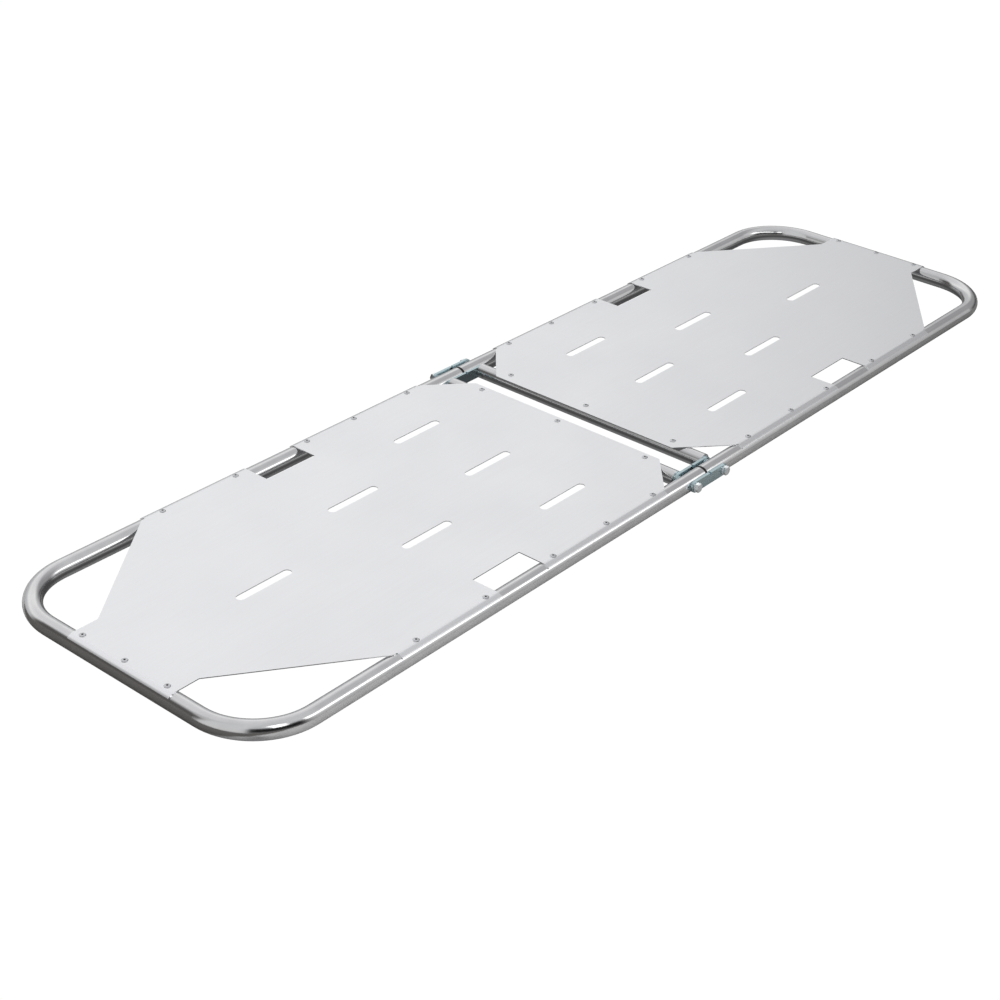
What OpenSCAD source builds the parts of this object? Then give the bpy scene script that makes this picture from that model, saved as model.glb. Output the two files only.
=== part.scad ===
// Folding stretcher: two U-shaped tube frames with riveted sheet beds, joined by link hinges.
// Open and flat. X runs along the stretcher, Y across it, Z up from the surface it lies on.
// The hinge is at X = 0. Left is -X, right is +X, near is -Y and far is +Y.

/* [Overall] */
// Length over the tubes, open and flat
overall_l = 1900; // [1860:2:1960]
// Width over the tubes
overall_w = 524; // [516:2:560]

/* [Tubes] */
// Outside diameter of the bent frame tube
tube_d = 28; // [27:0.5:30]
// Wall of the bent frame tube
tube_wall = 1.8; // [1.5:0.1:2.2]
// Radius of the two bends, to the middle of the tube
bend_r = 100; // [80:1:120]
// Outside diameter of the tube across the hinge end
cross_d = 25; // [22:0.5:25]
// Wall of that cross tube
cross_wall = 1.5; // [1.2:0.1:1.8]

/* [Bed] */
// Thickness of the sheet
sheet_t = 1.5; // [1:0.1:2]
// How far round the tube the edges of the sheet are pressed
lip_angle = 45; // [30:1:60]
// From the hinge to the straight edge of the left sheet
bed_start = 26; // [24:1:30]
// The same for the right sheet, which was cut longer
right_bed_start = 17; // [15:1:30]
// Half the length of the left sheet's straight edge
bed_start_half = 188; // [170:1:200]
// From the hinge to the first pressed edge
lip_start = 100; // [96:1:110]
// From the hinge to the end of the last pressed edge
lip_end = 684; // [670:1:700]
// Half the width of the tab over the outer run of the tube
tab_half = 99; // [90:1:120]
// Length of the straight neck of that tab
tab_neck = 41; // [30:1:60]

/* [Hand-holds] */
// From the hinge to the near end of the hand-hold
hold_start = 384; // [380:1:400]
// Length of the hand-hold
hold_l = 100; // [90:1:120]
// Depth of the hand-hold, from the middle of the tube
hold_depth = 44; // [40:1:60]

/* [Strap slots] */
// Overall length of a slot
slot_l = 100; // [60:1:120]
// Width of a slot
slot_w = 14; // [10:1:25]
// How far the slots and the end tab sit off the centre line
pattern_shift = -4; // [-6:1:6]

/* [Hinge] */
// From the hinge's middle to each pivot
pivot_x = 37; // [35:0.5:40]
// Height of a link bar
link_h = 19; // [17:0.5:20]
// Thickness of a link bar
link_t = 4.5; // [3:0.5:6]
// Diameter of the pivot bolts
bolt_d = 8; // [8:1:8]

/* [Hidden] */

$fn = 64;
eps = 1;

// Fits and gaps
seat = 0.05;          // between pieces of one half that sit on each other
side_play = 0.3;      // between a link bar and what turns beside it
run_fit = 0.05;       // radial play of a bolt in a link bar

// Frame tube
tube_r = tube_d / 2;
tube_z = tube_r;
leg_y = overall_w / 2 - tube_r;
run_x = overall_l / 2 - tube_r;
leg_l = run_x - bend_r;
run_half = leg_y - bend_r;
tube_end = 2.6;       // from the hinge's middle to the cut end of a leg
stop_gap = 0.2;       // the same to the face of its plug's collar
plug_l = 18;
plug_play = 0.05;

// Cross tube and pivots
cross_r = cross_d / 2;
pivot_z = tube_d - cross_r;
outer_face = leg_y + tube_r;
inner_face = leg_y - tube_r;
link_out = outer_face + side_play;
link_in = inner_face - side_play - link_t;
cross_half = link_in - side_play;
insert_l = 26;
pin_d = 4;
pin_in = 13;          // from the end of the cross tube to its pin
pin_head_d = 7;
pin_head_h = 0.8;
pin_reach = 6;        // how near the pin comes to the cross tube's axis

// Sheet
sheet_z = tube_d + seat;
sheet_top = sheet_z + sheet_t;
lip_r = tube_r + seat;
start_slope = 1.156;  // run of the hinge corner's edge along X for each millimetre along Y
tab_x = run_x - tab_neck;

// Slots: the offsets from the pattern's line in each row, then each row's distance from the hinge.
// The two sheets were marked out by hand, so theirs differ.
slot_rows = [[-147, 0, 147], [-73.5, 73.5], [0]];
left_slot_x = [219, 438, 688];
right_slot_x = [212, 427, 674];

// Blind rivets
rivet_hole_d = 4.9;
rivet_d = 4.8;
rivet_head_d = 9.5;
rivet_head_h = 1.3;
rivet_rim_h = 0.4;
rivet_bulb_d = 6.4;
rivet_bulb_h = 3.6;
rivet_bore_d = 3.2;
rivet_bore_depth = 2.2;
side_rivet_y = leg_y - 2;
end_rivet_x = run_x - 3;
end_rivet_y = [-82 + pattern_shift, pattern_shift, 84 + pattern_shift];
cross_rivet_y = [-168, 6, 165];
tube_bulb_z = tube_d - 3.8;
cross_bulb_z = tube_d - 2.2;
// Marked out by hand, so no two edges are quite alike
left_far_x = [131, 255, 359, 509, 652];
left_near_x = [122, 236, 359, 505, 645];
right_far_x = [128, 244, 368, 511, 661];
right_near_x = [132, 256, 364, 510, 650];

// Pivot hardware
washer_d = 16;
washer_hole_d = 8.4;
washer_t = 1.6;
washer_y = link_out + link_t + side_play;
head_y = washer_y + washer_t;
head_af = 13;
head_h = 5.3;
head_chamfer = 0.8;
sleeve_d = 12;
bolt_end = cross_half - insert_l + 4;
thread_play = 0.03;
notch_w = 3;
notch_h = 3;

bright_tube = [0.78, 0.79, 0.81];
sheet_grey = [0.87, 0.87, 0.88];
rivet_grey = [0.80, 0.80, 0.81];
zinc_blue = [0.52, 0.62, 0.66];
zinc_bright = [0.80, 0.85, 0.88];
plug_black = [0.06, 0.06, 0.07];

// ---- helpers. A half is drawn on the +X side, and the left one is its mirror image.

module on_left() mirror([1, 0, 0]) children();
module on_near() mirror([0, 1, 0]) children();

module along_x(x0, x1, d) translate([x0, 0, 0]) rotate([0, 90, 0]) cylinder(d = d, h = x1 - x0);
module along_y(y0, y1, d) translate([0, y0, 0]) rotate([-90, 0, 0]) cylinder(d = d, h = y1 - y0);
module at_pivot() translate([pivot_x, 0, pivot_z]) children();
module at_leg() translate([0, leg_y, tube_z]) children();

// The solid path of the U, as thick as d
module u_path(d, x0) {
    for (side = [-1, 1]) {
        translate([0, side * leg_y, tube_z]) along_x(x0, leg_l, d);
        translate([leg_l, side * run_half, tube_z])
            rotate([0, 0, side < 0 ? -90 : 0])
                rotate_extrude(angle = 90) translate([bend_r, 0]) circle(d = d);
    }
    translate([run_x, 0, tube_z]) along_y(-run_half, run_half, d);
}

// What the end of a leg loses: everything nearer the hinge's middle than gap, and below the
// pivot everything outside an arc about it, so the end clears the middle as the half folds
module end_relief(gap) {
    w = tube_d + 2 * eps;
    for (side = [-1, 1]) translate([0, side * leg_y - w / 2, 0]) {
        translate([-pivot_x, 0, pivot_z]) cube([pivot_x + gap, w, tube_d]);
        difference() {
            translate([-pivot_x, 0, -eps]) cube([pivot_x * 1.5, w, pivot_z + eps]);
            at_pivot() along_y(-eps, w + eps, 2 * (pivot_x - gap));
        }
    }
}

// Holes for the rivets, through the sheet and the top wall of the tubes only
module rivet_holes(near_x, far_x) {
    for (x = near_x) translate([x, -side_rivet_y, tube_z]) cylinder(d = rivet_hole_d, h = tube_d);
    for (x = far_x) translate([x, side_rivet_y, tube_z]) cylinder(d = rivet_hole_d, h = tube_d);
    for (y = end_rivet_y) translate([end_rivet_x, y, tube_z]) cylinder(d = rivet_hole_d, h = tube_d);
    for (y = cross_rivet_y) translate([pivot_x, y, pivot_z]) cylinder(d = rivet_hole_d, h = tube_d);
}

// ---- frame tube and its fittings

module tube_frame(near_x, far_x) color(bright_tube) difference() {
    u_path(tube_d, tube_end);
    u_path(tube_d - 2 * tube_wall, tube_end - eps);
    end_relief(tube_end);
    rivet_holes(near_x, far_x);
    at_pivot() along_y(-outer_face - eps, outer_face + eps, sleeve_d + 2 * seat);
}

module end_plug() color(plug_black) difference() {
    union() {
        intersection() {
            at_leg() along_x(0, plug_l, tube_d);
            end_relief(tube_end - plug_play);
        }
        at_leg() along_x(0, plug_l, tube_d - 2 * tube_wall - 2 * plug_play);
    }
    end_relief(stop_gap);
}

module sleeve() color(zinc_bright) at_pivot() difference() {
    along_y(inner_face, outer_face, sleeve_d);
    along_y(inner_face - eps, outer_face + eps, bolt_d + 2 * seat);
}

// ---- cross tube and its threaded ends

// The two radial holes or pins near the ends of the cross tube, on its hinge side
module insert_pin_at_ends() for (side = [-1, 1]) at_pivot()
    translate([0, side * (cross_half - pin_in), 0]) rotate([0, -90, 0]) children();

module cross_tube() color(bright_tube) difference() {
    at_pivot() along_y(-cross_half, cross_half, cross_d);
    at_pivot() along_y(-cross_half - eps, cross_half + eps, cross_d - 2 * cross_wall);
    insert_pin_at_ends() cylinder(d = pin_d + 2 * seat, h = cross_d);
    rivet_holes([], []);
}

module insert() color(zinc_bright) difference() {
    at_pivot() along_y(cross_half - insert_l, cross_half, cross_d - 2 * cross_wall - 2 * seat);
    at_pivot() along_y(cross_half - insert_l - eps, cross_half + eps, bolt_d + 2 * thread_play);
    insert_pin_at_ends() translate([0, 0, pin_reach - seat]) cylinder(d = pin_d + 2 * seat, h = cross_d);
}

module insert_pins() color(rivet_grey) insert_pin_at_ends() {
    translate([0, 0, pin_reach]) cylinder(d = pin_d, h = cross_r - pin_reach + pin_head_h);
    translate([0, 0, cross_r + seat]) cylinder(d = pin_head_d, h = pin_head_h);
}

// ---- sheet bed

// The hinge corners are cut along the same line on both sheets, wherever the straight edge is
module bed_outline(start) {
    start_x = bed_start + (leg_y - bed_start_half) * start_slope;
    start_half = bed_start_half - (bed_start - start) / start_slope;
    slope = (leg_y + 4 - tab_half) / (tab_x - lip_end);
    end_x = tab_x - (leg_y - tab_half) / slope;
    far = [
        [start, start_half],
        [start_x, leg_y],
        [hold_start, leg_y],
        [hold_start, leg_y - hold_depth],
        [hold_start + hold_l, leg_y - hold_depth],
        [hold_start + hold_l, leg_y],
        [end_x, leg_y],
        [tab_x, tab_half + pattern_shift],
        [run_x, tab_half + pattern_shift],
    ];
    near = [for (i = [len(far) - 1:-1:0]) [far[i][0], -far[i][1] + (i > 6 ? 2 * pattern_shift : 0)]];
    polygon(concat(far, near));
}

module slot_shape() {
    reach = (slot_l - slot_w) / 2;
    square([2 * reach, slot_w], center = true);
    for (side = [-1, 1]) translate([side * reach, 0]) circle(d = slot_w);
}

// Section of a pressed edge: from the crown of the tube round by lip_angle, towards +X
module lip_section() {
    far_r = 2 * (lip_r + sheet_t);
    intersection() {
        difference() {
            circle(r = lip_r + sheet_t);
            circle(r = lip_r);
        }
        polygon([[0, 0], [0, far_r], [far_r * tan(lip_angle), far_r]]);
    }
}

// A pressed edge along the far leg
module side_lip(x0, x1) at_leg() translate([x0, 0, 0])
    rotate([90, 0, 90]) linear_extrude(x1 - x0) lip_section();

// A pressed edge along the outer run
module end_lip() translate([run_x, tab_half + pattern_shift, tube_z])
    rotate([90, 0, 0]) linear_extrude(2 * tab_half) lip_section();

module panel(start, slot_x, near_x, far_x) color(sheet_grey) difference() {
    union() {
        translate([0, 0, sheet_z]) linear_extrude(sheet_t) difference() {
            bed_outline(start);
            for (i = [0:len(slot_rows) - 1], y = slot_rows[i])
                translate([slot_x[i], y + pattern_shift]) slot_shape();
        }
        for (side = [0, 1]) mirror([0, side, 0]) {
            side_lip(lip_start, hold_start);
            side_lip(hold_start + hold_l, lip_end);
        }
        end_lip();
    }
    rivet_holes(near_x, far_x);
}

// ---- fasteners

// A set blind rivet standing on the sheet, with its bulb's top at bulb_z
module blind_rivet(bulb_z) {
    crown_r = rivet_head_d * 0.24;
    difference() {
        union() {
            translate([0, 0, sheet_top + seat]) rotate_extrude() polygon([
                [0, 0],
                [rivet_head_d / 2, 0],
                [rivet_head_d / 2, rivet_rim_h],
                [rivet_head_d * 0.42, rivet_rim_h + (rivet_head_h - rivet_rim_h) * 0.55],
                [crown_r, rivet_head_h],
                [0, rivet_head_h],
            ]);
            translate([0, 0, bulb_z - rivet_bulb_h])
                cylinder(d = rivet_d, h = sheet_top - bulb_z + rivet_bulb_h + rivet_rim_h);
            translate([0, 0, bulb_z - rivet_bulb_h])
                cylinder(d = rivet_bulb_d, h = rivet_bulb_h);
        }
        translate([0, 0, sheet_top + rivet_head_h - rivet_bore_depth])
            cylinder(d = rivet_bore_d, h = rivet_bore_depth + eps);
    }
}

module side_rivets(xs) color(rivet_grey)
    for (x = xs) translate([x, side_rivet_y, 0]) blind_rivet(tube_bulb_z);

module end_rivets() color(rivet_grey)
    for (y = end_rivet_y) translate([end_rivet_x, y, 0]) blind_rivet(tube_bulb_z);

module cross_rivets() color(rivet_grey)
    for (y = cross_rivet_y) translate([pivot_x, y, 0]) blind_rivet(cross_bulb_z);

// Hexagon bolt along Y, with its head outside the outer link bar
module pivot_bolt() color(zinc_bright) at_pivot() {
    head_r = head_af / sqrt(3);
    along_y(bolt_end, head_y + head_h / 2, bolt_d);
    translate([0, head_y, 0]) rotate([-90, 0, 0]) intersection() {
        cylinder(r = head_r, h = head_h, $fn = 6);
        union() {
            cylinder(r = head_r + eps, h = head_h - head_chamfer);
            translate([0, 0, head_h - head_chamfer])
                cylinder(r1 = head_r, r2 = head_r - 2 * head_chamfer, h = head_chamfer);
        }
    }
}

module washers() color(zinc_bright) for (side = [0, 1]) mirror([0, side, 0]) at_pivot()
    difference() {
        along_y(washer_y, head_y, washer_d);
        along_y(washer_y - eps, head_y + eps, washer_hole_d);
    }

// ---- link bars between the halves

module link_bar(y0) color(zinc_blue)
    translate([0, y0 + link_t, pivot_z]) rotate([90, 0, 0]) linear_extrude(link_t) difference() {
        union() {
            square([2 * pivot_x, link_h], center = true);
            for (side = [-1, 1]) translate([side * pivot_x, 0]) circle(d = link_h);
        }
        for (side = [-1, 1]) translate([side * pivot_x, 0]) circle(d = bolt_d + 2 * run_fit);
        translate([-notch_w / 2, link_h / 2 - notch_h]) square([notch_w, notch_h + eps]);
    }

// ---- one module for each piece

module left_tube_frame() on_left() tube_frame(left_near_x, left_far_x);
module left_panel() on_left() panel(bed_start, left_slot_x, left_near_x, left_far_x);
module left_cross_tube() on_left() cross_tube();
module left_near_side_rivets() on_left() on_near() side_rivets(left_near_x);
module left_far_side_rivets() on_left() side_rivets(left_far_x);
module left_end_rivets() on_left() end_rivets();
module left_cross_rivets() on_left() cross_rivets();
module left_near_end_plug() on_left() on_near() end_plug();
module left_far_end_plug() on_left() end_plug();
module left_near_sleeve() on_left() on_near() sleeve();
module left_far_sleeve() on_left() sleeve();
module left_near_insert() on_left() on_near() insert();
module left_far_insert() on_left() insert();
module left_insert_pins() on_left() insert_pins();
module left_near_pivot_bolt() on_left() on_near() pivot_bolt();
module left_far_pivot_bolt() on_left() pivot_bolt();
module left_washers() on_left() washers();

module near_outer_link() on_near() link_bar(link_out);
module near_inner_link() on_near() link_bar(link_in);
module far_outer_link() link_bar(link_out);
module far_inner_link() link_bar(link_in);

module right_tube_frame() tube_frame(right_near_x, right_far_x);
module right_panel() panel(right_bed_start, right_slot_x, right_near_x, right_far_x);
module right_cross_tube() cross_tube();
module right_near_side_rivets() on_near() side_rivets(right_near_x);
module right_far_side_rivets() side_rivets(right_far_x);
module right_end_rivets() end_rivets();
module right_cross_rivets() cross_rivets();
module right_near_end_plug() on_near() end_plug();
module right_far_end_plug() end_plug();
module right_near_sleeve() on_near() sleeve();
module right_far_sleeve() sleeve();
module right_near_insert() on_near() insert();
module right_far_insert() insert();
module right_insert_pins() insert_pins();
module right_near_pivot_bolt() on_near() pivot_bolt();
module right_far_pivot_bolt() pivot_bolt();
module right_washers() washers();

left_tube_frame();
left_panel();
left_cross_tube();
left_near_side_rivets();
left_far_side_rivets();
left_end_rivets();
left_cross_rivets();
left_near_end_plug();
left_far_end_plug();
left_near_sleeve();
left_far_sleeve();
left_near_insert();
left_far_insert();
left_insert_pins();
left_near_pivot_bolt();
left_far_pivot_bolt();
left_washers();
near_outer_link();
near_inner_link();
far_outer_link();
far_inner_link();
right_tube_frame();
right_panel();
right_cross_tube();
right_near_side_rivets();
right_far_side_rivets();
right_end_rivets();
right_cross_rivets();
right_near_end_plug();
right_far_end_plug();
right_near_sleeve();
right_far_sleeve();
right_near_insert();
right_far_insert();
right_insert_pins();
right_near_pivot_bolt();
right_far_pivot_bolt();
right_washers();
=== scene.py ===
# %% [markdown]
# # A folding stretcher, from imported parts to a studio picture
# The stretcher is two U-shaped aluminium tubes, each with a sheet riveted on top, joined by link bars.
# Every part with a real size comes ready-made from the CAD frame and must stay exactly where it is.
# So this lesson is about finish: what each piece is made of, how its surface was worked,
# and how light shows that. It also adds one small thing that the CAD parts leave out, the broken stems
# in the rivets.

import math
import random

import bmesh
import bpy
from mathutils import Matrix, Vector


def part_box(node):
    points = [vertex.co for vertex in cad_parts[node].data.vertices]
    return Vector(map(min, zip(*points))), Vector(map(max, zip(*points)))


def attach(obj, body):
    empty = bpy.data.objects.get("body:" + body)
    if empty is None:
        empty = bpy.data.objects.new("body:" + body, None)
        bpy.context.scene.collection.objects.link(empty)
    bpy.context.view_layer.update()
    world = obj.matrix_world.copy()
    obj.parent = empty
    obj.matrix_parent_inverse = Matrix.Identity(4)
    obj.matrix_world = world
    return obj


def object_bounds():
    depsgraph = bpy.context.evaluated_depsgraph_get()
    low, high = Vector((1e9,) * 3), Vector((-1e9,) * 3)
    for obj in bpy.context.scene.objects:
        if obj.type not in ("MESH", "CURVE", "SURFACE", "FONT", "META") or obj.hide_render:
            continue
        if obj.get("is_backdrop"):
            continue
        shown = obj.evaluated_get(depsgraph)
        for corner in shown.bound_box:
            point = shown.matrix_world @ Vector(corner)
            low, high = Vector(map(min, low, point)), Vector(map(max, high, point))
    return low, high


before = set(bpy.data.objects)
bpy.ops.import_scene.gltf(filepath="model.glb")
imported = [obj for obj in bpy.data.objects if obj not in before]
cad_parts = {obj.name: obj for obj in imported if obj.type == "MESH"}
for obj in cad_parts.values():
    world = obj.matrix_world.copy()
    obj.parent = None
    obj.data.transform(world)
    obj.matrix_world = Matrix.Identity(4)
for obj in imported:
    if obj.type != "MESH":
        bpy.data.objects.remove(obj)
cad_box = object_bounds()
MM = 0.001
print(len(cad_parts), "nodes,", round(cad_box[1].x - cad_box[0].x, 3), "m long")

# %% [markdown]
# ## Sizes read from the frame
# Nothing is measured by eye here. The tube's thickness, its outer run and its legs are worked out from
# the box of one node, so that a change to the CAD part moves the patterns and the table with it.
# The bend's radius can't be read from a box, so it is repeated here, and so are a few small sizes of the
# sheet and the rivets further down.

# %% Tube sizes
# RUN_X is the middle of the outer run, counted from the hinge, and LEG_Y is the middle of a leg
tube_low, tube_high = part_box("right_tube_frame")
TUBE_R = (tube_high.z - tube_low.z) / 2
BEND_R = 100 * MM
RUN_X = tube_high.x - TUBE_R
LEG_Y = tube_high.y - TUBE_R
print("tube", round(2 * TUBE_R / MM, 1), "mm, legs", round(2 * LEG_Y / MM), "mm apart")

# %% [markdown]
# ## Colours and nodes
# Colours are given as sRGB hex values, the way a paint chart gives them. Shaders add light up,
# so they need linear values, and one function does that change everywhere.
# A second small function adds a node, fills in its settings and wires its inputs: it keeps each
# material short enough to read in one go.

# %% Colour and node helpers
def linear(hex_colour):
    """A hex colour such as "C8CDD2" as linear RGBA."""
    parts = [int(hex_colour[i:i + 2], 16) / 255 for i in (0, 2, 4)]
    return tuple(c / 12.92 if c <= 0.04045 else ((c + 0.055) / 1.055) ** 2.4 for c in parts) + (1.0,)


def add(tree, kind, settings=None, **inputs):
    """One node of that kind. An input given as a socket is linked, and anything else is set.

    An input is named as Blender names it, with _ for a space, or by its number, as _0 or _1.
    """
    node = tree.nodes.new(kind)
    for name, value in (settings or {}).items():
        setattr(node, name, value)
    for name, value in inputs.items():
        socket = node.inputs[int(name[1:]) if name[1:].isdigit() else name.replace("_", " ")]
        if isinstance(value, bpy.types.NodeSocket):
            tree.links.new(value, socket)
        else:
            socket.default_value = value
    return node


def new_material(name):
    """An empty material and its tree."""
    material = bpy.data.materials.new(name)
    material.use_nodes = True
    material.node_tree.nodes.clear()
    return material, material.node_tree


print("white is", linear("FFFFFF"))

# %% [markdown]
# ## The camera
# A product picture of something this long and flat is taken from one corner, well above it, with a long
# lens so that the far end doesn't shrink away. The camera was leaned over by about two degrees too, and
# without that lean the long tubes run at the wrong slope.
# Heading is counted from the far direction, +Y, towards +X, and tilt is how far it looks down.

# %% Camera
# The place is in metres, the angles are in degrees and the lens is in millimetres
CAMERA_AT = Vector((-2.1839, -1.6398, 1.4527))
HEADING, TILT, LEAN = 50.686, 30.191, 2.045
LENS_MM, SENSOR_MM = 68.826, 36.0
CLIP_END = 100.0

heading, tilt = math.radians(HEADING), math.radians(TILT)
look = Vector((math.sin(heading) * math.cos(tilt), math.cos(heading) * math.cos(tilt), -math.sin(tilt)))
camera = bpy.data.objects.new("camera", bpy.data.cameras.new("camera"))
camera.data.lens, camera.data.sensor_width = LENS_MM, SENSOR_MM
turn = look.to_track_quat("-Z", "Y").to_matrix().to_4x4() @ Matrix.Rotation(math.radians(LEAN), 4, "Z")
camera.matrix_world = Matrix.Translation(CAMERA_AT) @ turn
camera.data.clip_end = CLIP_END
bpy.context.scene.collection.objects.link(camera)
bpy.context.scene.camera = camera
print("camera", round(CAMERA_AT.length, 2), "m from the hinge")

# %% [markdown]
# ## A white paper sweep
# In a studio the paper runs flat under the object and then curves up behind it, so no corner or horizon
# shows. A box with its edges rounded off would do, but a sweep turned on a lathe needs one profile.
# The paper lies a whole folded half below the stretcher, because a half that folds swings down past
# its own underside. It glows a little above white, so that it stays clean, and only the camera
# sees it: the metal's reflections come from the light tent described next, as if the object had been cut
# out afterwards and laid on white. Its back is clear, so that the underside can be looked at through it.

# %% Profile of the sweep
SWEEP_R, SWEEP_CURVE, SWEEP_TOP = 12.0, 4.0, 14.0
CURVE_STEPS = 8
FOLD_ROOM = 0.05
paper_z = -(tube_high.x + FOLD_ROOM)
flat_r = SWEEP_R - SWEEP_CURVE
profile = [(0.0, 0.0), (flat_r, 0.0)]
for step in range(1, CURVE_STEPS + 1):
    a = math.radians(90 * step / CURVE_STEPS)
    profile.append((flat_r + SWEEP_CURVE * math.sin(a), SWEEP_CURVE * (1 - math.cos(a))))
profile.append((SWEEP_R, SWEEP_TOP))
profile.append((0.0, SWEEP_TOP))
print("profile of", len(profile), "points")

# %% Paper sweep
SWEEP_STEPS = 64
WELD = 0.001
sweep_mesh = bmesh.new()
points = [sweep_mesh.verts.new((r, 0, paper_z + z)) for r, z in profile]
edges = [sweep_mesh.edges.new(pair) for pair in zip(points, points[1:])]
bmesh.ops.spin(sweep_mesh, geom=points + edges, axis=(0, 0, 1), cent=(0, 0, 0), steps=SWEEP_STEPS,
               angle=math.tau, use_duplicate=False)
bmesh.ops.remove_doubles(sweep_mesh, verts=sweep_mesh.verts, dist=WELD)
bmesh.ops.recalc_face_normals(sweep_mesh, faces=sweep_mesh.faces)
bmesh.ops.reverse_faces(sweep_mesh, faces=sweep_mesh.faces)
paper_data = bpy.data.meshes.new("paper_sweep")
sweep_mesh.to_mesh(paper_data)
sweep_mesh.free()
paper = bpy.data.objects.new("paper_sweep", paper_data)
bpy.context.scene.collection.objects.link(paper)
paper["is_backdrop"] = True
print("sweep of", len(paper_data.polygons), "faces")


# %% One-sided white paper
def clear_behind(tree, surface):
    """Ends a material that shows that surface in front and is clear from behind."""
    behind = add(tree, "ShaderNodeNewGeometry").outputs["Backfacing"]
    clear = add(tree, "ShaderNodeBsdfTransparent").outputs[0]
    both = add(tree, "ShaderNodeMixShader", Fac=behind, _1=surface, _2=clear).outputs[0]
    add(tree, "ShaderNodeOutputMaterial", Surface=both)


PAPER_GLOW = 1.02
material, tree = new_material("white_paper")
glow = add(tree, "ShaderNodeEmission", Color=linear("FFFFFF"), Strength=PAPER_GLOW)
clear_behind(tree, glow.outputs[0])
paper_data.materials.append(material)
paper.visible_diffuse = paper.visible_glossy = paper.visible_transmission = paper.visible_shadow = False
print("paper at", round(paper_z, 3), "m")

# %% [markdown]
# ## The light tent
# Metal has no colour of its own to speak of: it shows what stands round it. In a studio, polished metal
# stands in a tent of white cloth with gaps and dark cards in it, because a tube that reflects nothing
# but white looks like chalk. So the light here is mostly the surroundings themselves.
# Six sides are described, each as a ramp of tones from straight down to straight up: the bright cloth
# beyond the far side, a greyer one to the right, a pale one in front, a dim one to the left with a window
# in the middle of it, and the open corner on the near left, where the camera stands and the room behind
# it is dark.
# They blend into each other by compass direction, and meet in the same tone at the top. Below the
# horizon they share one dark floor, which is darkest some way out and lighter straight down.

# %% Tones of the tent
# Each tone stands at an angle above the horizon, in degrees. Every side starts with the floor's
# tones and ends with the roof's.
FLOOR = [(-90, "88888A"), (-60, "7A7A7B"), (-45, "585859"), (-30, "4A4A4B")]
ROOF = [(90, "D6D7D9")]
FAR_WALL = FLOOR + [
    (-14, "8A8A8B"), (-4, "B8B8BA"), (6, "C6C7C9"), (18, "D2D3D4"), (27, "FFFFFF"), (34, "F4F4F5"),
    (44, "E8E8EA"), (60, "E0E0E2"),
] + ROOF
RIGHT_WALL = FLOOR + [
    (-4, "4E4E4F"), (7, "58585A"), (18, "A0A0A1"), (32, "A4A4A6"), (44, "B8B8BA"), (60, "D4D5D6"),
] + ROOF
FRONT_WALL = FLOOR + [
    (-14, "6A6A6B"), (-4, "B0B0B0"), (8, "BCBCBD"), (22, "D2D2D3"), (34, "DCDCDD"), (46, "D0D0D2"),
    (60, "D4D5D6"),
] + ROOF
LEFT_WALL = FLOOR + [
    (-14, "5C5A58"), (4, "6A6764"), (20, "52504E"), (32, "5E5D5C"), (42, "BCBCBD"), (62, "D2D3D4"),
] + ROOF
WINDOW = FLOOR + [(-16, "5A5A5B"), (-4, "BEBEBF"), (12, "DADADB"), (50, "D8D9DA")] + ROOF
OPEN_CORNER = FLOOR + [
    (-14, "6C6B6A"), (4, "6C6B6A"), (15, "1E1E20"), (32, "121213"), (42, "58585A"), (50, "C0C1C3"),
] + ROOF
SIDES = [FAR_WALL, RIGHT_WALL, FRONT_WALL, LEFT_WALL, WINDOW, OPEN_CORNER]
print("tones on each side:", [len(side) for side in SIDES])

# %% Directions round the tent
world = bpy.data.worlds.new("light_tent")
world.use_nodes = True
world.node_tree.nodes.clear()
bpy.context.scene.world = world
tree = world.node_tree
direction = add(tree, "ShaderNodeTexCoord").outputs["Generated"]
aim = add(tree, "ShaderNodeSeparateXYZ", Vector=direction).outputs
above = add(tree, "ShaderNodeMath", {"operation": "ARCSINE"}, _0=aim["Z"]).outputs[0]
ramp_at = add(tree, "ShaderNodeMapRange", Value=above, From_Min=-math.pi / 2, From_Max=math.pi / 2).outputs[0]
flat_aim = add(tree, "ShaderNodeVectorMath", {"operation": "MULTIPLY"}, _0=direction, _1=(1, 1, 0)).outputs[0]
compass = add(tree, "ShaderNodeVectorMath", {"operation": "NORMALIZE"}, _0=flat_aim).outputs[0]
compass = add(tree, "ShaderNodeSeparateXYZ", Vector=compass).outputs
print("compass reads", [output.name for output in compass])


# %% Walls and their blends
def wall(tones):
    """One wall of the tent as a ramp from straight down to straight up."""
    ramp = add(tree, "ShaderNodeValToRGB", Fac=ramp_at)
    for i, (angle, colour) in enumerate(tones):
        stop = ramp.color_ramp.elements[i] if i < 2 else ramp.color_ramp.elements.new(1.0)
        stop.position, stop.color = (angle + 90) / 180, linear(colour)
    return ramp.outputs["Color"]


def blend_walls(side, low, high, wall_a, wall_b):
    """One wall where that compass value is low, and the other where it is high."""
    share = add(tree, "ShaderNodeMapRange", {"interpolation_type": "SMOOTHSTEP"}, Value=side,
                From_Min=low, From_Max=high).outputs[0]
    return add(tree, "ShaderNodeMix", {"data_type": "RGBA"}, Factor=share, _6=wall_a, _7=wall_b).outputs[2]


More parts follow.
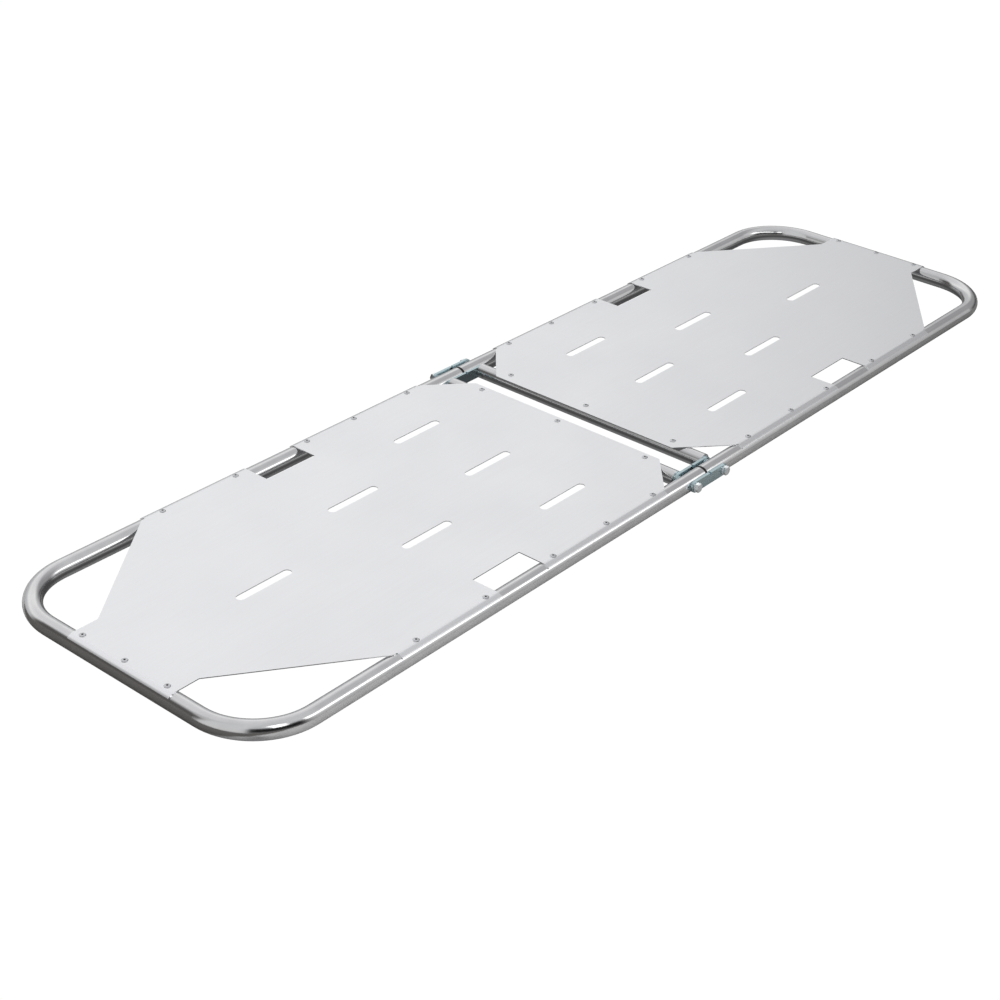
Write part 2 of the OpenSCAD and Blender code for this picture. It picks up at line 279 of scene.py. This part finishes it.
# %% Tent
# Compass X is 1 to the right and -1 to the left, and compass Y is 1 to the back and -1 to the front.
# Each blend has the two compass values between which one side fades into the next.
open_corner = wall(OPEN_CORNER)
front_walls = blend_walls(compass["X"], 0.15, 0.5, open_corner, wall(FRONT_WALL))
near_walls = blend_walls(compass["Y"], -0.55, -0.35, front_walls, wall(RIGHT_WALL))
lit_walls = blend_walls(compass["Y"], 0.24, 0.62, near_walls, wall(FAR_WALL))
dim_walls = blend_walls(compass["Y"], -0.4, 0.1, open_corner, wall(LEFT_WALL))
left_walls = blend_walls(compass["X"], -0.90, -0.80, wall(WINDOW), dim_walls)
all_walls = blend_walls(compass["X"], -0.6, -0.35, left_walls, lit_walls)
tent = add(tree, "ShaderNodeBackground", Color=all_walls, Strength=1.0)
add(tree, "ShaderNodeOutputWorld", Surface=tent.outputs[0])
bpy.context.scene.view_settings.view_transform = "Standard"
print("tent lit from", len(SIDES), "sides")

# %% [markdown]
# ## Soft boxes in front
# The tent alone is even. Real tubes carry a crisp bright line where a lamp stands, and here that line
# runs along the left half's legs as far as the near left bend, and fades past the hinge. A line that long
# needs a long lamp close by: a soft box a metre and a half in front, at chest height, and set to the
# right, because seen from the left corner a lamp shows in the tube to the right of where it hangs.
# A second, upright one by the near left corner puts the bright patch on the top of the bend.
# Places and sizes are in metres, and watts are small because the tent does most of the lighting.

# %% Lamps
def soft_box(name, at, aim, wide, tall, watts):
    """A flat lamp at a place, turned to face another."""
    data = bpy.data.lights.new(name, "AREA")
    data.shape, data.size, data.size_y, data.energy = "RECTANGLE", wide, tall, watts
    lamp = bpy.data.objects.new(name, data)
    lamp.location = at
    lamp.rotation_euler = (Vector(aim) - Vector(at)).to_track_quat("-Z", "Y").to_euler()
    lamp.visible_camera = False
    bpy.context.scene.collection.objects.link(lamp)


soft_box("front_soft_box", at=(0.85, -1.6, 1.25), aim=(0.85, 0, 0), wide=2.3, tall=0.6, watts=5.4)
soft_box("corner_soft_box", at=(-1.25, -1.7, 1.95), aim=(-0.9, -0.2, 0), wide=0.7, tall=1.1, watts=3.8)

# %% [markdown]
# ## The table in the reflections
# A tube on a pale table shows the table in its lower half, so the reflections need a real table right
# under the stretcher. But a half that folds swings down through it. So the table is a sheet that
# only reflections see, and only from above: from below it is as clear as air, and folded halves
# still reflect the tent. Its cloth is painted darker towards the right end, and darker still past the left
# end: painted shade, which the tubes mirror in their lower halves. The middle, inside the frame, is cut out,
# so that
# the tent's dark floor shows in the inner sides of the tubes. On a real table the sheets' own shade makes
# the middle dark. Here that shade would be black, and the whole underside would mirror it.

# %% Table seen in reflections
TABLE_SIDE = 16.0
UNDER_TUBE = 0.5 * MM
table_mesh = bmesh.new()
bmesh.ops.create_grid(table_mesh, x_segments=4, y_segments=4, size=TABLE_SIDE / 2)
bmesh.ops.translate(table_mesh, verts=table_mesh.verts, vec=(0, 0, tube_low.z - UNDER_TUBE))
table_data = bpy.data.meshes.new("table_in_reflections")
table_mesh.to_mesh(table_data)
table_mesh.free()
table = bpy.data.objects.new("table_in_reflections", table_data)
bpy.context.scene.collection.objects.link(table)
table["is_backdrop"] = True
table.visible_camera = table.visible_shadow = False
print("table just under", round(tube_low.z / MM, 1), "mm")

# %% Painted shade on the table's cloth
material, tree = new_material("matt_white_table")
place = add(tree, "ShaderNodeTexCoord").outputs["Object"]
spot = add(tree, "ShaderNodeSeparateXYZ", Vector=place).outputs
# The cloth's tone is painted shade: it darkens towards the right end, and more past the left end
to_right = add(tree, "ShaderNodeMapRange", Value=spot["X"], From_Min=-tube_high.x,
               From_Max=tube_high.x).outputs[0]
cloth_painted_shade = add(tree, "ShaderNodeMix", {"data_type": "RGBA"}, Factor=to_right,
                 _6=linear("ECEBEA"), _7=linear("989795")).outputs[2]
inside_left_end = add(tree, "ShaderNodeMapRange", {"interpolation_type": "SMOOTHSTEP"}, Value=spot["X"],
               From_Min=-RUN_X - TUBE_R, From_Max=-RUN_X).outputs[0]
cloth_painted_shade = add(tree, "ShaderNodeMix", {"data_type": "RGBA"}, Factor=inside_left_end,
                 _6=linear("7E7B78"), _7=cloth_painted_shade).outputs[2]
print("cloth tones set on", material.name)

# %% Cut-out in the table
past_edges = []
for axis, middle in (("X", RUN_X), ("Y", LEG_Y)):
    off_middle = add(tree, "ShaderNodeMath", {"operation": "ABSOLUTE"}, _0=spot[axis]).outputs[0]
    past_edges.append(add(tree, "ShaderNodeMapRange", {"interpolation_type": "SMOOTHSTEP"}, Value=off_middle,
                          From_Min=middle - 2 * TUBE_R, From_Max=middle + TUBE_R).outputs[0])
past_tubes = add(tree, "ShaderNodeMath", {"operation": "MAXIMUM"}, _0=past_edges[0],
                 _1=past_edges[1]).outputs[0]
cloth = add(tree, "ShaderNodeBsdfDiffuse", Color=cloth_painted_shade).outputs[0]
cut_out = add(tree, "ShaderNodeBsdfTransparent").outputs[0]
clear_behind(tree, add(tree, "ShaderNodeMixShader", Fac=past_tubes, _1=cut_out, _2=cloth).outputs[0])
table_data.materials.append(material)
print("cut out inside", round(RUN_X - 2 * TUBE_R, 3), "by", round(LEG_Y - 2 * TUBE_R, 3), "m each way")

# %% [markdown]
# ## Drawn tube
# The frame is drawn aluminium tube: pulled through a die, which leaves hair-fine lines along it, and
# then buffed bright. The lines blur a highlight across the tube but not along it.
# They have to follow the tube round its bends. A texture stretched along X would do that only on
# the legs. Instead the pattern is read from the tube's own cross-section: how far a point lies outside
# the tube's centre line, seen from above, and how high. Those two stay the same all along one line, round
# the bends too. Real draw lines are about 0.05 mm apart and can't show at this distance, so they are
# drawn 0.6 mm apart.

# %% Surface noise helpers
NOISE_LOW, NOISE_HIGH = 0.3, 0.7


def spots(tree, vector, size_mm, detail=2.0, rough=0.5):
    """Soft noise with features of about that size, from 0 to 1."""
    return add(tree, "ShaderNodeTexNoise", Vector=vector, Scale=1 / (size_mm * MM), Detail=detail,
               Roughness=rough).outputs[0]


def spread(tree, value, low, high):
    """Stretches noise, which stays near the middle, over a useful range."""
    return add(tree, "ShaderNodeMapRange", Value=value, From_Min=NOISE_LOW, From_Max=NOISE_HIGH,
               To_Min=low, To_Max=high).outputs[0]


def maths(tree, operation, a, b=0.0):
    """One sum on plain numbers."""
    return add(tree, "ShaderNodeMath", {"operation": operation}, _0=a, _1=b).outputs[0]


print("noise of 1 mm has a scale of", 1 / MM)


# %% Sections of the tubes
def past_bend_start(tree, distance, middle):
    """How far a point is past the start of the bend on one axis, and nothing before it."""
    beyond = maths(tree, "SUBTRACT", maths(tree, "ABSOLUTE", distance), middle - BEND_R)
    return maths(tree, "MAXIMUM", beyond)


def section_of_bent_tube(tree):
    """Where a point lies in the section of the bent tube: outwards and up."""
    place = add(tree, "ShaderNodeTexCoord").outputs["Object"]
    parts = add(tree, "ShaderNodeSeparateXYZ", Vector=place).outputs
    along = past_bend_start(tree, parts["X"], RUN_X)
    across = past_bend_start(tree, parts["Y"], LEG_Y)
    squares = [maths(tree, "MULTIPLY", distance, distance) for distance in (along, across)]
    outwards = maths(tree, "SQRT", maths(tree, "ADD", squares[0], squares[1]))
    return place, add(tree, "ShaderNodeCombineXYZ", X=outwards, Y=parts["Z"]).outputs[0]


def section_of_cross_tube(tree):
    """Where a point lies in the section of the straight tube across the hinge end."""
    place = add(tree, "ShaderNodeTexCoord").outputs["Object"]
    parts = add(tree, "ShaderNodeSeparateXYZ", Vector=place).outputs
    return place, add(tree, "ShaderNodeCombineXYZ", X=parts["X"], Y=parts["Z"]).outputs[0]


print("bends start", round((RUN_X - BEND_R) / MM), "mm from the hinge")


# %% Bare metal
def metal(tree, colour, roughness, height, depth_mm):
    """A bare metal surface whose fine relief is that deep."""
    bump = add(tree, "ShaderNodeBump", Strength=1.0, Distance=depth_mm * MM, Height=height)
    shader = add(tree, "ShaderNodeBsdfPrincipled", Base_Color=colour, Metallic=1.0,
                 Roughness=roughness, Normal=bump.outputs[0])
    add(tree, "ShaderNodeOutputMaterial", Surface=shader.outputs[0])
    return shader


print("relief of one micron is", 0.001 * MM, "m deep")


# %% Buffed drawn aluminium
DRAW_LINE_MM, WEAR_MM = 0.6, 35.0


def buffed_drawn_aluminium(name, section_of):
    """Bright tube with draw lines along it, dulled a little where hands and floors rub it."""
    material, tree = new_material(name)
    place, section = section_of(tree)
    lines = spots(tree, section, DRAW_LINE_MM, detail=1.0)
    wear = spots(tree, place, WEAR_MM, detail=4.0, rough=0.6)
    tone = add(tree, "ShaderNodeMix", {"data_type": "RGBA"}, Factor=spread(tree, wear, 0.0, 1.0),
               _6=linear("E6E6E6"), _7=linear("DADADB")).outputs[2]
    gloss = maths(tree, "ADD", spread(tree, wear, 0.12, 0.18), spread(tree, lines, -0.01, 0.01))
    metal(tree, tone, gloss, lines, depth_mm=0.001)
    return material


bent_tube = buffed_drawn_aluminium("buffed_drawn_aluminium", section_of_bent_tube)
straight_tube = buffed_drawn_aluminium("buffed_drawn_aluminium_straight", section_of_cross_tube)
print("tube materials:", bent_tube.name, straight_tube.name)

# %% [markdown]
# ## Rolled sheet
# The beds are rolled aluminium sheet, left as the mill made it: a satin grey with a faint grain along
# the way it was rolled. It is far duller than the tube, so it shows the tent as one even tone.
# Brushed metal would need stronger streaks; here they only just break up the surface.
# The true grain is a few hundredths of a millimetre wide, and it is drawn 1.2 mm wide and 90 mm long.
# The walls of the strap slots are made matt and pale instead of metal: painted light, which keeps them
# from mirroring the dark floor under the sheet. The mask for them is a box: the middle of the bed, between
# the sheet's two faces, holds nothing but the walls of the slots.
# The lips that are pressed down over the tube slid along the press tool, so they are glossier.

# %% Slot walls painted pale
# All the slots lie between these distances from the hinge, and within that much of the middle line.
# A rivet's head stands HEAD_H above the sheet, and SKIN keeps the mask off the sheet's two faces.
SLOTS_START, SLOTS_END, SLOTS_HALF = 140 * MM, 750 * MM, 170 * MM
HEAD_H, SHEET_T, SKIN = 1.35 * MM, 1.5 * MM, 0.02 * MM
sheet_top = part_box("right_cross_rivets")[1].z - HEAD_H


def slot_walls(tree, place):
    """One on the walls of the strap slots, and nothing elsewhere."""
    parts = add(tree, "ShaderNodeSeparateXYZ", Vector=place).outputs
    from_hinge = maths(tree, "ABSOLUTE", parts["X"])
    from_middle = maths(tree, "ABSOLUTE", parts["Y"])
    share = 1.0
    for test, value, limit in (
        ("GREATER_THAN", from_hinge, SLOTS_START),
        ("LESS_THAN", from_hinge, SLOTS_END),
        ("LESS_THAN", from_middle, SLOTS_HALF),
        ("LESS_THAN", parts["Z"], sheet_top - SKIN),
        ("GREATER_THAN", parts["Z"], sheet_top - SHEET_T + SKIN),
    ):
        share = maths(tree, "MULTIPLY", share, maths(tree, test, value, limit))
    return share


print("sheet's top face at", round(sheet_top / MM, 2), "mm")


# %% Glossy pressed lips
LIP_ROUGHNESS, LIP_BLEND = 0.22, 3 * MM


def pressed_lips(tree, place):
    """One on the edges pressed down over the tube, and nothing on the flat."""
    parts = add(tree, "ShaderNodeSeparateXYZ", Vector=place).outputs
    over = []
    for axis, crown in (("X", RUN_X), ("Y", LEG_Y)):
        from_middle = maths(tree, "ABSOLUTE", parts[axis])
        over.append(add(tree, "ShaderNodeMapRange", Value=from_middle, From_Min=crown,
                        From_Max=crown + LIP_BLEND).outputs[0])
    return maths(tree, "MAXIMUM", over[0], over[1])


print("lips bend down", round(LEG_Y / MM), "mm from the middle")


# %% Mill-finish sheet
GRAIN_MM, GRAIN_STRETCH, CLOUD_MM = 1.2, 75, 160.0


def mill_finish_sheet():
    """Satin sheet with a rolling grain along the stretcher."""
    material, tree = new_material("mill_finish_sheet")
    place = add(tree, "ShaderNodeTexCoord").outputs["Object"]
    drawn_out = add(tree, "ShaderNodeMapping", Vector=place, Scale=(1 / GRAIN_STRETCH, 1.0, 1.0)).outputs[0]
    grain = spots(tree, drawn_out, GRAIN_MM, detail=3.0, rough=0.65)
    clouds = spots(tree, place, CLOUD_MM, detail=3.0)
    tone = add(tree, "ShaderNodeMix", {"data_type": "RGBA"}, Factor=spread(tree, grain, 0.0, 1.0),
               _6=linear("FBFCFD"), _7=linear("F9F9FB")).outputs[2]
    satin = maths(tree, "ADD", spread(tree, clouds, 0.34, 0.40), spread(tree, grain, -0.01, 0.01))
    gloss = add(tree, "ShaderNodeMix", _0=pressed_lips(tree, place), _2=satin, _3=LIP_ROUGHNESS).outputs[0]
    shader = metal(tree, tone, gloss, grain, depth_mm=0.0006)
    # The slot walls lose their metal and turn matt and pale: painted light where they would mirror dark shade
    painted_pale_walls = slot_walls(tree, place)
    tree.links.new(maths(tree, "SUBTRACT", 1.0, painted_pale_walls), shader.inputs["Metallic"])
    return material


sheet = mill_finish_sheet()
print("sheet material:", sheet.name)

# %% [markdown]
# ## Plated steel
# The link bars are mild steel, zinc plated and passivated in a bath that leaves a blue cast, which
# drifts towards green and straw where the film is thicker. The bolts, washers, bushes and threaded
# ends are plated too, but brighter and barely blue.
# The cast is a soft cloud pattern between two tones. Plating follows the steel, so the surface
# keeps the fine pitted grain of the bar: about 0.2 mm, drawn at 0.8 mm.

# %% Zinc
FILM_MM, PIT_MM = 14.0, 0.8


def passivated_zinc(name, tones, dull, shiny):
    """Plated steel that drifts between two tones and two roughnesses."""
    material, tree = new_material(name)
    place = add(tree, "ShaderNodeTexCoord").outputs["Object"]
    film = spots(tree, place, FILM_MM, detail=3.0, rough=0.55)
    pits = spots(tree, place, PIT_MM, detail=2.0)
    tone = add(tree, "ShaderNodeMix", {"data_type": "RGBA"}, Factor=spread(tree, film, 0.0, 1.0),
               _6=linear(tones[0]), _7=linear(tones[1])).outputs[2]
    metal(tree, tone, spread(tree, film, shiny, dull), pits, depth_mm=0.002)
    return material


blue_zinc = passivated_zinc("blue_passivated_zinc", ("BED2D9", "B9CBCD"), dull=0.30, shiny=0.20)
bright_zinc = passivated_zinc("bright_zinc", ("FAFCFD", "EEF2F4"), dull=0.18, shiny=0.11)
print("zinc materials:", blue_zinc.name, bright_zinc.name)

# %% [markdown]
# ## Small aluminium and plastic pieces
# Blind rivets are cold-headed aluminium: a soft sheen, with small dents from the tool that set them.
# The plugs in the tube ends are moulded black polyethylene, which is waxy and never quite black,
# with the spark-eroded grain of its mould, about 0.3 mm.

# %% Headed aluminium
DENT_MM = 1.6


def headed_aluminium():
    """The satin of a rivet's head, with tool dents."""
    material, tree = new_material("headed_aluminium")
    place = add(tree, "ShaderNodeTexCoord").outputs["Object"]
    dents = spots(tree, place, DENT_MM, detail=2.0)
    metal(tree, linear("D2D3D5"), spread(tree, dents, 0.12, 0.20), dents, depth_mm=0.02)
    return material


rivet_metal = headed_aluminium()
print("rivet material:", rivet_metal.name)


# %% Moulded polyethylene
MOULD_GRAIN_MM, MOULD_DEPTH_MM, POLYETHYLENE_IOR = 0.3, 0.02, 1.51


def moulded_polyethylene():
    """Black plastic with a fine mould grain."""
    material, tree = new_material("moulded_polyethylene")
    place = add(tree, "ShaderNodeTexCoord").outputs["Object"]
    grain = spots(tree, place, MOULD_GRAIN_MM, detail=1.0)
    bump = add(tree, "ShaderNodeBump", Strength=1.0, Distance=MOULD_DEPTH_MM * MM, Height=grain)
    shader = add(tree, "ShaderNodeBsdfPrincipled", Base_Color=linear("131315"), IOR=POLYETHYLENE_IOR,
                 Roughness=spread(tree, grain, 0.42, 0.54), Normal=bump.outputs[0])
    add(tree, "ShaderNodeOutputMaterial", Surface=shader.outputs[0])
    return material


plug_plastic = moulded_polyethylene()
print("plug material:", plug_plastic.name)

# %% [markdown]
# ## Broken stems in the blind rivets
# A blind rivet is set by pulling a steel pin through it, and the pin snaps off inside. So every head has
# a hole with a rough steel stub a little below its rim, and the shade in that hole gives the dark dots that
# make the heads read as rivets. The CAD rivets have the hole but not the stub, so the stubs are added here.
# Their steel is painted near black, which is painted shade of the hole.
# A plain cylinder would look drilled. Each stub is turned with a neck, and its end is torn: the
# points of the break are lifted by different amounts, which are seeded so that they stay the same.
# The places come from the CAD rivets themselves: each rivet is one solid, so the mesh is split into
# its loose islands, and each island's box has the hole at its middle.

# %% Find the rivets
def islands(node_name):
    """The box of each loose solid in a CAD node, as (low, high) corners."""
    cad_mesh = bmesh.new()
    cad_mesh.from_mesh(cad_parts[node_name].data)
    cad_mesh.verts.ensure_lookup_table()
    unseen, boxes = set(range(len(cad_mesh.verts))), []
    while unseen:
        group, edge_of_group = [], [min(unseen)]
        unseen.discard(edge_of_group[0])
        while edge_of_group:
            vert = cad_mesh.verts[edge_of_group.pop()]
            group.append(vert.co.copy())
            for edge in vert.link_edges:
                other = edge.other_vert(vert).index
                if other in unseen:
                    unseen.discard(other)
                    edge_of_group.append(other)
        boxes.append((Vector([min(c[i] for c in group) for i in range(3)]),
                      Vector([max(c[i] for c in group) for i in range(3)])))
    cad_mesh.free()
    return boxes


RIVET_NODES = [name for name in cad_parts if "rivets" in name]
rivet_boxes = {side: [box for name in RIVET_NODES if name.startswith(side) for box in islands(name)]
               for side in ("left", "right")}
print({side: len(boxes) for side, boxes in rivet_boxes.items()}, "rivets")

# %% Snapped steel wire, painted dark with the hole's shade
TEAR_MM = 0.4


def snapped_steel_and_shade():
    """Steel wire painted near black as the hole's painted shade, duller and darker in spots where it tore."""
    material, tree = new_material("snapped_steel_painted_dark")
    place = add(tree, "ShaderNodeTexCoord").outputs["Object"]
    tear = spots(tree, place, TEAR_MM, detail=3.0)
    # Both tones are near black: painted shade of the rivet's hole, in the steel's colour
    tone = add(tree, "ShaderNodeMix", {"data_type": "RGBA"}, Factor=spread(tree, tear, 0.0, 1.0),
               _6=linear("2C2C2E"), _7=linear("1C1A19")).outputs[2]
    metal(tree, tone, spread(tree, tear, 0.5, 0.7), tear, depth_mm=0.05)
    return material


stub_steel_and_shade = snapped_steel_and_shade()
print("stub material:", stub_steel_and_shade.name)


# %% One stub
# The profile gives radii as shares of the hole's width, and heights as shares of its depth
HOLE_D, HOLE_DEPTH = 3.2 * MM, 2.2 * MM
STUB_PROFILE = [(0.46, 0.02), (0.46, 0.60), (0.38, 0.68), (0.38, 0.74), (0.45, 0.84)]
STUB_SIDES = 12
TEAR_LOW, TEAR_HIGH, TIP_RISE = -0.05, 0.12, 0.78


def add_stub(stub_mesh, low, high, dice):
    """One torn stub, standing just off the bottom of the hole in the middle of that box."""
    middle = (low + high) / 2
    floor_z = high.z - HOLE_DEPTH
    rings = []
    for radius, rise in STUB_PROFILE:
        torn = rise == STUB_PROFILE[-1][1]
        ring = []
        for k in range(STUB_SIDES):
            a = math.tau * k / STUB_SIDES
            lift = dice.uniform(TEAR_LOW, TEAR_HIGH) if torn else 0.0
            ring.append(stub_mesh.verts.new((middle.x + radius * HOLE_D * math.cos(a),
                                             middle.y + radius * HOLE_D * math.sin(a),
                                             floor_z + (rise + lift) * HOLE_DEPTH)))
        rings.append(ring)
    for lower, upper in zip(rings, rings[1:]):
        for k in range(STUB_SIDES):
            n = (k + 1) % STUB_SIDES
            stub_mesh.faces.new((lower[k], lower[n], upper[n], upper[k]))
    stub_mesh.faces.new(rings[0][::-1])
    tip = stub_mesh.verts.new((middle.x, middle.y, floor_z + TIP_RISE * HOLE_DEPTH))
    for k in range(STUB_SIDES):
        stub_mesh.faces.new((rings[-1][k], rings[-1][(k + 1) % STUB_SIDES], tip))


print("hole", round(HOLE_D / MM, 1), "mm wide and", round(HOLE_DEPTH / MM, 1), "mm deep")

# %% Stubs
for side, boxes in rivet_boxes.items():
    dice = random.Random(side)
    stub_mesh = bmesh.new()
    for low, high in boxes:
        add_stub(stub_mesh, low, high, dice)
    data = bpy.data.meshes.new(side + "_rivet_stubs")
    stub_mesh.to_mesh(data)
    stub_mesh.free()
    stubs = bpy.data.objects.new(side + "_rivet_stubs", data)
    data.materials.append(stub_steel_and_shade)
    bpy.context.scene.collection.objects.link(stubs)
    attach(stubs, side + "_half")
    print(stubs.name, len(boxes), "stubs")

# %% [markdown]
# ## Dressing the parts
# Each part keeps its own mesh and place. It only takes a finish, picked by what its name says it is.
# The list is read from the top, so the empty word at its end takes what is left: bolts, washers, sleeves
# and inserts.

# %% Finishes by name
FINISHES = [
    ("tube_frame", bent_tube),
    ("cross_tube", straight_tube),
    ("panel", sheet),
    ("rivets", rivet_metal),
    ("insert_pins", rivet_metal),
    ("end_plug", plug_plastic),
    ("link", blue_zinc),
    ("", bright_zinc),
]
for name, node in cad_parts.items():
    finish = next(material for word, material in FINISHES if word in name)
    node.data.materials.clear()
    node.data.materials.append(finish)
    print(name, "->", finish.name)

# %% Sizes of the CAD parts and of the dressed scene
boxes = {"cad": cad_box, "visual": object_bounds()}
